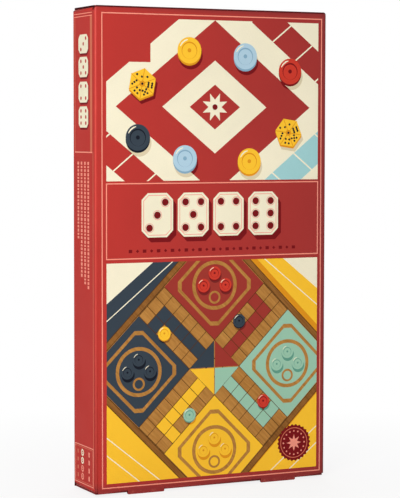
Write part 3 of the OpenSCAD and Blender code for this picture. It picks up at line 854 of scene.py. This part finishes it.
for side, way in (("left", -1), ("right", 1)):
    make(f"{side}_panel_card", "carton",
         flat_card(side_print(), lambda u, v, d: (way * (HALF_W - d), way * u, v)),
         card, [f"{side}_panel"])


# The glue flap is a tapered strip of the blank, unprinted, glued inside the left panel where
# it meets the back panel. It closes the carton's tube.
glue_outline = [(2.4, 16.6), (16.4, 6.6), (16.4, 295.8), (2.4, 285.8)]
make("glue_flap_card", "carton",
     flat_card([("bare", glue_outline)],
               lambda u, v, d: (-HALF_W + 2 * CARD - d, u, v), edge="bare"),
     card, ["glue_flap"])


# The closures are the carton's two lids, cut from the same board. Each folds from one main
# panel and ends in a rounded crease, from which a tuck flap goes down behind the other one.
LID_X, LID_BACK, LID_FRONT, LID_MIDDLE = 79.7, 16.5, -15.1, 0.9
TUCK_LEAN, TUCK_LENGTH, TUCK_X, TUCK_CORNER = 0.11836, 8.862, 77.5, 5.0
NOTCH_IN, NOTCH_OUT, NOTCH_Y = 33.7, 59.3, 16.103


def turned_over(faces):
    """Turns faces of the carton's top into those of its bottom, which hinges at the front."""
    return [([(x, -y, TOP_Z + BASE_Z - z) for x, y, z in outline], ink, soft)
            for outline, ink, soft in faces]


def lid_print():
    shapes = framed(-76.2, -12.6, 76.2, 14.4, 0.6)
    shapes += plate_row((2, 3, 4, 5), -34, 18.4, -6.6, 8.4, width=13, pip=1.25,
                        drop=(0.9, -1.3), cut=2.4)
    for side in (-1, 1):
        shapes += [("cream", star(side * 56, LID_MIDDLE, 8.4, 4.2, 8, math.pi / 8)),
                   ("red", disc(side * 56, LID_MIDDLE, 2.0, 20))]
        shapes += [("rule", rhomb(side * x, LID_MIDDLE, 2.2)) for x in (70, 43.5)]
    return shapes


def closure(back_edge, cut):
    """Faces of a closure's sheet. back_edge is the hinged edge's outline, right to left."""
    outline = [(-LID_X, LID_FRONT), (LID_X, LID_FRONT), *back_edge]
    faces = flat_card([("red", outline)] + lid_print(),
                      lambda u, v, d: (u, v, TOP_Z - d), edge=cut, no_wall=(0,))
    fold = [(LID_FRONT - CARD * math.sin(a), TOP_Z - CARD + CARD * math.cos(a))
            for a in quarter(CORNER_STEPS)]
    for a, b in zip(fold, fold[1:]):
        faces.append(([(-LID_X, *a), (-LID_X, *b), (LID_X, *b), (LID_X, *a)], "red", True))
    root = (LID_FRONT, TOP_Z - CARD)
    for side in (-1, 1):
        cap = [(side * LID_X, *p) for p in [root] + fold]
        faces.append((cap[::-1] if side < 0 else cap, cut, False))
    faces.append(([(-LID_X, *fold[-1]), (-LID_X, *root), (LID_X, *root), (LID_X, *fold[-1])],
                  "bare", False))
    return faces


def tuck_flap():
    """Faces of a tuck flap, leaning inwards from the closure's rounded crease."""
    lean, rise = math.sin(TUCK_LEAN), math.cos(TUCK_LEAN)

    def at(u, v, d):
        return (u, LID_FRONT - CARD + d * rise - v * lean, TOP_Z - CARD + d * lean + v * rise)

    arc = [(TUCK_X - TUCK_CORNER + TUCK_CORNER * math.sin(a),
            -TUCK_LENGTH + TUCK_CORNER - TUCK_CORNER * math.cos(a)) for a in quarter(8)]
    low = [(-u, v) for u, v in reversed(arc)] + arc
    outline = low + [(TUCK_X, 0), (-TUCK_X, 0)]
    rear_top = -CARD * math.tan(TUCK_LEAN)
    rear = low + [(TUCK_X, rear_top), (-TUCK_X, rear_top)]
    return flat_card([("red", outline)], at, back_outline=rear)


plain_edge = [(LID_X, LID_BACK), (-LID_X, LID_BACK)]
notched_edge = [(LID_X, LID_BACK), (NOTCH_OUT, LID_BACK), (NOTCH_OUT, NOTCH_Y),
                (NOTCH_IN, NOTCH_Y), (NOTCH_IN, LID_BACK)]
notched_edge += [(-x, y) for x, y in reversed(notched_edge)]
# The top closure's cut edges are near black: the painted shadow in the gap under its edge
make("top_closure_card", "top_lid", closure(plain_edge, "lid_edge_shadow"), card, ["top_closure"])
make("top_tuck_card", "top_lid", tuck_flap(), card, ["top_tuck_flap"])
# The bottom closure's cut edges are maroon: a painted shade, lighter than the top closure's
make("bottom_closure_card", "bottom_lid", turned_over(closure(notched_edge, "maroon")), card,
     ["bottom_closure"])
make("bottom_tuck_card", "bottom_lid", turned_over(tuck_flap()), card,
     ["bottom_tuck_flap"])


# The dust flaps fold in from the side panels under each closure and keep dust out. Their
# sloped edge lets them swing with the closure, and their free corner is rounded.
DUST_ROOT, DUST_FREE, DUST_FRONT, DUST_BACK, DUST_CORNER = 79.0, 50.5, -14.0, 16.2, 4
DUST_SLOPE_X, DUST_SLOPE_Y = 77.9, 1.3333
dust_outline = [(DUST_FREE + DUST_CORNER * (1 - math.cos(a)),
                 DUST_FRONT + DUST_CORNER * (1 - math.sin(a))) for a in quarter(8)]
dust_outline += [(DUST_ROOT, DUST_FRONT), (DUST_ROOT, DUST_BACK), (DUST_SLOPE_X, DUST_BACK),
                 (DUST_FREE, DUST_SLOPE_Y)]


def mirrored(faces):
    return [([(-x, y, z) for x, y, z in reversed(outline)], ink, soft)
            for outline, ink, soft in faces]


dust_right = flat_card([("red", dust_outline)], lambda u, v, d: (u, v, TOP_Z - CARD - d))
for side, faces in (("right", dust_right), ("left", mirrored(dust_right))):
    make(f"top_dust_{side}_card", f"top_dust_{side}", faces, card,
         [f"top_dust_flap_{side}"])
    make(f"bottom_dust_{side}_card", f"bottom_dust_{side}", turned_over(faces), card,
         [f"bottom_dust_flap_{side}"])


# The hinged creases are the same board, pressed along a line before it is folded. Each is a
# narrow strip between its panel and its flap.
BEND_STEPS, FOLD_R = 8, 1.5


def crease_faces(spans, at, print_ink):
    """Faces of a crease along each span. at(along, inwards, up) places a point of it."""
    band = [CREASE_BAND * k / BEND_STEPS for k in range(BEND_STEPS + 1)]
    inner_r = FOLD_R - CARD
    angles = [math.asin(h / FOLD_R) for h in band]
    last = angles[-1]
    angles += [last + (math.pi / 2 - last) * k / BEND_STEPS for k in range(1, BEND_STEPS + 1)]
    outer = [(FOLD_R - FOLD_R * math.cos(a), FOLD_R * math.sin(a)) for a in angles]
    inner = [(FOLD_R - math.sqrt(max(inner_r ** 2 - h ** 2, 0)), h) for h in band]
    faces = []
    for start, end in spans:
        def add(a, b, ink, smooth):
            quad = [at(start, *a), at(end, *a), at(end, *b), at(start, *b)]
            faces.append((quad, ink, smooth))

        for a, b in zip(outer, outer[1:]):
            add(a, b, print_ink, True)
        for a, b in zip(inner, inner[1:]):
            add(b, a, "bare", True)
        add(inner[0], outer[0], "cut_edge_shaded", False)
        add(outer[-1], inner[-1], "cut_edge_shaded", False)
        for along, flip in ((start, False), (end, True)):
            for k in range(len(outer) - 1):
                a, b = inner[min(k, BEND_STEPS)], inner[min(k + 1, BEND_STEPS)]
                cap = [at(along, *p) for p in (a, outer[k], outer[k + 1], b)]
                faces.append((cap[::-1] if flip else cap, "cut_edge_shaded", False))
    return faces


def crease(name, spans, at, turn, pivot, top, ink):
    """A crease strip, made for the front's or right side's top and turned to its place."""
    faces = crease_faces(spans, at, ink)
    if turn:
        faces = half_turn(faces)
    if not top:
        faces = turned_over(faces)
    strip = make(name, None, faces, card)
    low, high = pivot[2], pivot[2] + CREASE_BAND
    if not top:
        low, high = (TOP_Z + BASE_Z - z for z in (low, high))
    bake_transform(strip)


LID_CREASE_Z = TOP_Z - CARD - CREASE_BAND
crease("top_lid_crease_strip", [(-FLAT_X, FLAT_X)],
       lambda a, s, h: (a, -HALF_D + s, LID_CREASE_Z + h), True,
       (0, HALF_D, LID_CREASE_Z), True, "red")
# The crease along the front's foot is in the front's red, with its painted shade
crease("bottom_lid_crease_strip",
       [(-FLAT_X, -NOTCH_OUT), (-NOTCH_IN, NOTCH_IN), (NOTCH_OUT, FLAT_X)],
       lambda a, s, h: (a, -HALF_D + s, LID_CREASE_Z + h), True,
       (0, -HALF_D, LID_CREASE_Z), False, "front_red_shaded")
for side, turn, span in (("right", False, (DUST_FRONT, DUST_BACK)),
                         ("left", True, (-DUST_BACK, -DUST_FRONT))):
    for end, top in (("top", True), ("bottom", False)):
        crease(f"{end}_dust_{side}_crease_strip", [span],
               lambda a, s, h: (HALF_W - s, a, SIDE_TOP + h), turn,
               (-HALF_W if turn else HALF_W, 0, SIDE_TOP), top, "red")


# The board case is two shallow trays of pine: four rails round each half, with eased edges,
# glued and pinned at the corners, and two divider strips inside for the playing pieces.
EASE, FLAT = 0.35, 0.9999


def block(low, high, ease=0.0, segments=3):
    """A box between two corners. Its rounded edges are smooth, and its sides are flat."""
    shape = bmesh.new()
    bmesh.ops.create_cube(shape, size=1)
    bmesh.ops.transform(shape, verts=shape.verts, matrix=Matrix.LocRotScale(
        (low + high) / 2, None, high - low))
    if ease:
        bmesh.ops.bevel(shape, geom=shape.edges[:], offset=ease, segments=segments,
                        profile=0.5, affect="EDGES")
        for face in shape.faces:
            face.smooth = max(abs(c) for c in face.normal) < FLAT
    return shape


def eased_faces(low, high, wood):
    """Faces of a sawn block between two corners in metres, with its edges sanded round."""
    shape = block(Vector(low) / MM, Vector(high) / MM, EASE)
    faces = [([tuple(v.co) for v in face.verts], wood, face.smooth) for face in shape.faces]
    shape.free()
    return faces


def timber(name, light, dark, stretch, gloss=0.5, pores=0.4):
    return finish(name, wood_grain, {"Light": light, "Dark": dark},
                  {"Stretch": stretch, "Pores": pores, "Gloss": gloss},
                  bump=0.12, depth=0.00006)


UPRIGHT, ACROSS = (420, 420, 16), (16, 420, 420)
wood = {"pine_upright": timber("pine_upright", (226, 186, 128), (196, 146, 86), UPRIGHT),
        "pine_across": timber("pine_across", (228, 188, 130), (198, 148, 88), ACROSS)}
for half in ("front", "back"):
    for part, grain in (("rail_top", "pine_across"), ("rail_bottom", "pine_across"),
                        ("rail_left", "pine_upright"), ("rail_right", "pine_upright"),
                        ("divider_lower", "pine_across"), ("divider_upper", "pine_across")):
        node = f"{half}_{part}"
        make(node + "_wood", "board_case", eased_faces(*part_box(node), grain), wood, [node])


# The two playing boards are veneered panels let into the rails. The traditional track is
# printed on their outer faces, half on each, so that it is whole when the case lies open.
STAINS = {"veneer": ((214, 168, 108), (184, 132, 74)),
          "wood": ((224, 182, 122), (198, 150, 92)),
          "wood_dark": ((96, 60, 34), (66, 38, 20)), "brick": ((186, 58, 46), (150, 40, 34)),
          "navy": ((58, 68, 84), (38, 46, 60)), "yellow": ((244, 184, 62), (218, 150, 38)),
          "mint": ((132, 190, 164), (100, 160, 134))}
stained = {name: timber("stain_" + name, light, dark, UPRIGHT, gloss=0.42, pores=0.3)
           for name, (light, dark) in STAINS.items()}
TRACK_SQUARE = 17.0


def board_half(node):
    """Faces of one playing board, drawn at the front with its fold at +x."""
    low, high = (Vector(p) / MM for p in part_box(node))
    out_y = min(low.y, high.y) if node.startswith("front") else -max(low.y, high.y)
    fold_x = high.x if node.startswith("front") else low.x
    span = (low.x, low.z, high.x, high.z)
    plan = framed(*inset(*span, 2), 0.6, "wood_dark", "veneer")
    plan += moved(board_plan(TRACK_SQUARE, 0.3), fold_x, (low.z + high.z) / 2)
    return flat_card([("veneer", box(*span))] + cropped(plan, box(*inset(*span, 0.5))),
                     lambda u, v, d: (u, out_y + d, v),
                     depth=high.y - low.y, back="veneer", edge="veneer")


make("front_board_veneer", "board_case", board_half("front_board"), stained,
     ["front_board"])
make("back_board_veneer", "board_case", half_turn(board_half("back_board")), stained,
     ["back_board"])


# The butt hinges and the catch are stamped brass, screwed to the rails. Handling dulls the
# polish in clouds and leaves fine scratches.
handled_brass, place, given, gives = new_group(
    "handled_brass", {"Colour": "Color", "Tarnish": "Color"})
tree = handled_brass
clouds = ramp(tree, noise(tree, place, 180, 5, 0.65), 0.42, 0.7)
brushed = put(tree, "VectorMath", {0: place, 1: (3000, 3000, 200)}, operation="MULTIPLY")
give(tree, gives, Colour=mix(tree, clouds, given["Colour"], given["Tarnish"]),
     Roughness=ramp(tree, clouds, 0, 1, 0.24, 0.42),
     Height=noise(tree, brushed.outputs[0], 1.0, 2))
brass = finish("brass", handled_brass,
               {"Colour": (214, 176, 98), "Tarnish": (168, 128, 66)},
               bump=0.08, depth=0.00001, Metallic=1.0)


def dress(node, material):
    """Gives a CAD solid that is right as it is its real finish."""
    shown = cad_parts[node]
    if not shown.material_slots:
        shown.data.materials.append(material)
    for slot in shown.material_slots:
        slot.material = material


for level in ("upper", "lower"):
    for part in ("front_leaf", "back_leaf", "pin"):
        dress(f"{level}_hinge_{part}", brass)
for part in ("catch_hook", "catch_pivot", "catch_stud"):
    dress(part, brass)


# The hinge screws are turned brass with a domed head and a sawn slot. Four hold each hinge,
# two in each leaf, and their shanks go into the rails.
def lathe(profile, sides=32):
    """A mesh turned round the upright axis from (radius, height) points, in mm."""
    shape = bmesh.new()
    rings = []
    for r, z in profile:
        if r < 1e-6:
            rings.append([shape.verts.new((0, 0, z))] * sides)
        else:
            rings.append([shape.verts.new((x, y, z)) for x, y in disc(0, 0, r, sides)])
    for low, high in zip(rings, rings[1:]):
        for k in range(sides):
            ring = [low[k - 1], low[k], high[k], high[k - 1]]
            face = shape.faces.new(list(dict.fromkeys(ring)))
            face.smooth = True
    bmesh.ops.recalc_face_normals(shape, faces=shape.faces)
    return shape


def carved(shape, cutter, materials):
    """Cuts a closed shape with another. A cut face keeps its cutter's material number."""
    solids = []
    for source in (shape, cutter):
        mesh = bpy.data.meshes.new("carving")
        source.to_mesh(mesh)
        source.free()
        for material in materials:
            mesh.materials.append(material)
        solids.append(bpy.data.objects.new("carving", mesh))
        bpy.context.scene.collection.objects.link(solids[-1])
    cut = solids[0].modifiers.new("cut", "BOOLEAN")
    cut.operation, cut.solver, cut.object = "DIFFERENCE", "EXACT", solids[1]
    graph = bpy.context.evaluated_depsgraph_get()
    result = bmesh.new()
    result.from_mesh(solids[0].evaluated_get(graph).to_mesh())
    for solid in solids:
        bpy.data.objects.remove(solid)
    return result


def joined(copies):
    """Puts placed copies of shapes together, from (shape, matrix) pairs."""
    whole = bmesh.new()
    for shape, matrix in copies:
        mesh = bpy.data.meshes.new("copy")
        shape.to_mesh(mesh)
        mesh.transform(matrix)
        whole.from_mesh(mesh)
        bpy.data.meshes.remove(mesh)
    return whole


def case_piece(name, copies, materials, node):
    """A piece that lies in the board case, from (shape, matrix) pairs in mm."""
    whole = joined(copies)
    bmesh.ops.scale(whole, vec=(MM, MM, MM), verts=whole.verts)
    mesh = bpy.data.meshes.new(name)
    whole.to_mesh(mesh)
    whole.free()
    for material in materials:
        mesh.materials.append(material)
    add_piece(name, mesh, "board_case", [node])


SHANK_R, HEAD_R, HEAD_H, HEAD_RIM, SCREW_L = 0.9, 1.7, 0.7, 0.12, 6.0
SLOT_W, SLOT_DEEP = 0.35, 0.4
screw_profile = [(0, -SCREW_L), (SHANK_R * 0.4, -SCREW_L + 0.6), (SHANK_R, -SCREW_L + 2),
                 (SHANK_R, 0), (HEAD_R, 0), (HEAD_R, HEAD_RIM)]
screw_profile += [(HEAD_R * math.cos(a), HEAD_RIM + (HEAD_H - HEAD_RIM) * math.sin(a))
                  for a in quarter(6)[1:]]
saw_high = Vector((HEAD_R + 0.5, SLOT_W / 2, HEAD_H + 1 - SLOT_DEEP))
saw_low = Vector((-saw_high.x, -saw_high.y, HEAD_H - SLOT_DEEP))
screw = carved(lathe(screw_profile), block(saw_low, saw_high), [brass])
HINGE_X, LEAF_T, SCREW_Y, SCREW_SPREAD = 73, 0.8, 5.6, 11.2
for level, hinge_z in (("upper", 237.3), ("lower", 57.3)):
    spots = []
    for k, (side, lift) in enumerate(((-1, -1), (-1, 1), (1, -1), (1, 1))):
        spot = Vector((HINGE_X + LEAF_T, side * SCREW_Y, hinge_z + lift * SCREW_SPREAD / 2))
        turn = Matrix.Rotation(math.pi / 2, 4, "Y") @ Matrix.Rotation(0.7 * k, 4, "Z")
        spots.append((screw, Matrix.Translation(spot) @ turn))
    case_piece(f"{level}_hinge_screw_set", spots, [brass], f"{level}_hinge_screws")
screw.free()


# The pawns are turned beech, four of each colour, dipped in gloss paint. They stand in two
# rows in the case, on the bottom rail and on the lower divider.
gloss_paint, place, given, gives = new_group(
    "gloss_paint", {"Colour": "Color", "Deep": "Color"})
tree = gloss_paint
pooled = ramp(tree, noise(tree, place, 120, 3), 0.35, 0.7)
give(tree, gives, Colour=mix(tree, pooled, given["Colour"], given["Deep"]),
     Roughness=ramp(tree, noise(tree, place, 400, 3), 0.3, 0.7, 0.16, 0.28),
     Height=noise(tree, place, 500, 2))

pawn_profile = [(0, 0), (5.5, 0), (5.9, 0.25), (6.0, 0.7), (6.0, 1.3), (5.85, 1.75),
                (5.45, 2.1), (5.0, 2.6), (4.72, 3.4), (4.4, 4.8), (3.95, 6.8), (3.45, 9.0),
                (3.0, 11.2), (2.65, 13.2), (2.42, 14.8), (2.4, 15.4), (2.75, 15.7),
                (2.95, 16.1), (2.85, 16.5), (2.45, 16.75)]
HEAD_MID, PAWN_HEAD_R, PAWN_TALL = 20.1, 3.9, 24.0
pawn_profile += [(PAWN_HEAD_R * math.cos(a), HEAD_MID + PAWN_HEAD_R * math.sin(a))
                 for a in [math.radians(-50 + 140 * k / 14) for k in range(14)]]
pawn_profile.append((0, PAWN_TALL))
pawn = lathe(pawn_profile, sides=40)
PAWN_PITCH, PAWN_Y = 15.5, 4.1
for ink, side, foot_z, rgb, deep in (
        ("red", -1, 12.9, (186, 44, 38), (160, 32, 30)),
        ("navy", 1, 12.9, (44, 54, 70), (32, 40, 54)),
        ("yellow", -1, 42.9, (250, 184, 44), (236, 162, 30)),
        ("mint", 1, 42.9, (122, 190, 164), (96, 168, 142))):
    coat = finish("gloss_" + ink, gloss_paint, {"Colour": rgb, "Deep": deep}, bump=0.05,
                  Coat_Weight=0.4, Coat_Roughness=0.08)
    row = [(pawn, Matrix.Translation((side * (k + 0.5) * PAWN_PITCH, PAWN_Y, foot_z)))
           for k in range(4)]
    case_piece(f"pawns_{ink}_turned", row, [coat], f"pawns_{ink}")
pawn.free()


# The two dice are hardwood cubes, tumbled until their corners are round, with drilled dots
# painted black. Opposite faces add up to seven.
DIE, DIE_ROUND, DIE_FOOT_Z = 14.0, 1.9, 72.9
DOT_R, DOT_STEP, DRILL_LIFT = 1.25, 3.6, 0.45
die_finishes = [timber("die_hardwood", (240, 208, 150), (222, 182, 118), (260, 260, 30),
                       gloss=0.32, pores=0.25),
                finish("dot_black", gloss_paint,
                       {"Colour": (34, 30, 28), "Deep": (22, 20, 20)}, bump=0.05)]

drill = bmesh.new()
bmesh.ops.create_uvsphere(drill, u_segments=20, v_segments=12, radius=DOT_R)
for face in drill.faces:
    face.material_index, face.smooth = 1, True
drills = []
for axis, degrees, n in (("X", 0, 1), ("X", 180, 6), ("X", 90, 2), ("X", -90, 5),
                         ("Y", 90, 3), ("Y", -90, 4)):
    turn = Matrix.Rotation(math.radians(degrees), 4, axis)
    drills += [(drill, turn @ Matrix.Translation((x, y, DIE / 2 + DRILL_LIFT)))
               for x, y in pip_places(n, 0, 0, DOT_STEP, DOT_STEP)]
half_die = Vector((DIE, DIE, DIE)) / 2
die = carved(block(-half_die, half_die, DIE_ROUND, segments=6), joined(drills), die_finishes)
drill.free()
for side, x, turn in (("left", -DIE, 0), ("right", DIE, math.pi / 2)):
    spot = Matrix.Translation((x, 0, DIE_FOOT_Z + DIE / 2)) @ Matrix.Rotation(turn, 4, "Z")
    case_piece(f"die_{side}_wood", [(die, spot)], die_finishes, f"die_{side}")
die.free()


# The leaflet is one long sheet of uncoated paper in four leaves, folded to and fro, with a
# printed first page. It stands loose against the back playing board.
LEAF_HALF_W, LEAF_STEP, PAPER_T = 52.5, 0.2, 0.1
leaf_low, leaf_high = (Vector(p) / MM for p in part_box("rules_leaflet"))
paper = {"paper": finish("leaflet_paper", pulp,
                         {"Colour": (246, 240, 222), "Fibre": (226, 216, 192)},
                         {"Speckle": 0.3}, bump=0.15)}
paper.update({name: card_ink("leaflet_" + name, INK_COLOURS[name], wear=0)
              for name in ("red", "rule", "maroon", "cream", "navy")})
middle, fold_r = [], LEAF_STEP / 2
for k in range(4):
    y = leaf_low.y + fold_r + k * LEAF_STEP
    way = 1 if k % 2 == 0 else -1
    middle.append((-way * (LEAF_HALF_W - (0 if k == 0 else fold_r + PAPER_T / 2)), y))
    end = LEAF_HALF_W - (0 if k == 3 else fold_r + PAPER_T / 2)
    middle.append((way * end, y))
    if k < 3:
        middle += [(way * (end + fold_r * math.cos(a)), y + fold_r + fold_r * math.sin(a))
                   for a in [math.pi * (j / 6 - 0.5) for j in range(1, 6)]]
front_side, back_side = [], []
for k, p in enumerate(middle):
    a, b = Vector(middle[max(k - 1, 0)]), Vector(middle[min(k + 1, len(middle) - 1)])
    off = (b - a).orthogonal().normalized() * PAPER_T / 2
    front_side.append((p[0] - off.x, p[1] - off.y))
    back_side.append((p[0] + off.x, p[1] + off.y))
page = [("paper", box(-LEAF_HALF_W, leaf_low.z, front_side[1][0], leaf_high.z))]
page += framed(-48, leaf_low.z + 5, 48, leaf_high.z - 5, 0.5, "red", "paper")
page += plate_row((3, 5, 4, 6), -38, 20, 196, 212, width=16, pip=1.5, drop=(1.2, -1.4),
                  cut=2.4)
page += [("maroon", box(-40, z, 40 - 22 * (k % 4 == 3), z + 1.0))
         for k, z in enumerate(range(180, 84, -6))]
corners, triangles, inks = printed_triangles(page)
leaf_faces = [([(corners[i][0], front_side[0][1], corners[i][1]) for i in t], ink, False)
              for t, ink in zip(triangles, inks)]
for ring, first, flip in ((front_side, 1, False), (back_side, 0, True)):
    for a, b in list(zip(ring, ring[1:]))[first:]:
        quad = [(*a, leaf_low.z), (*b, leaf_low.z), (*b, leaf_high.z), (*a, leaf_high.z)]
        leaf_faces.append((quad[::-1] if flip else quad, "paper", True))
for a, b, c, d in zip(front_side, front_side[1:], back_side[1:], back_side):
    leaf_faces.append(([(*p, leaf_low.z) for p in (a, d, c, b)], "paper", False))
    leaf_faces.append(([(*p, leaf_high.z) for p in (a, b, c, d)], "paper", False))
for k, flip in ((0, False), (-1, True)):
    a, b = front_side[k], back_side[k]
    quad = [(*a, leaf_low.z), (*a, leaf_high.z), (*b, leaf_high.z), (*b, leaf_low.z)]
    leaf_faces.append((quad[::-1] if flip else quad, "paper", False))
make("rules_leaflet_sheet", "board_case", leaf_faces, paper, ["rules_leaflet"])
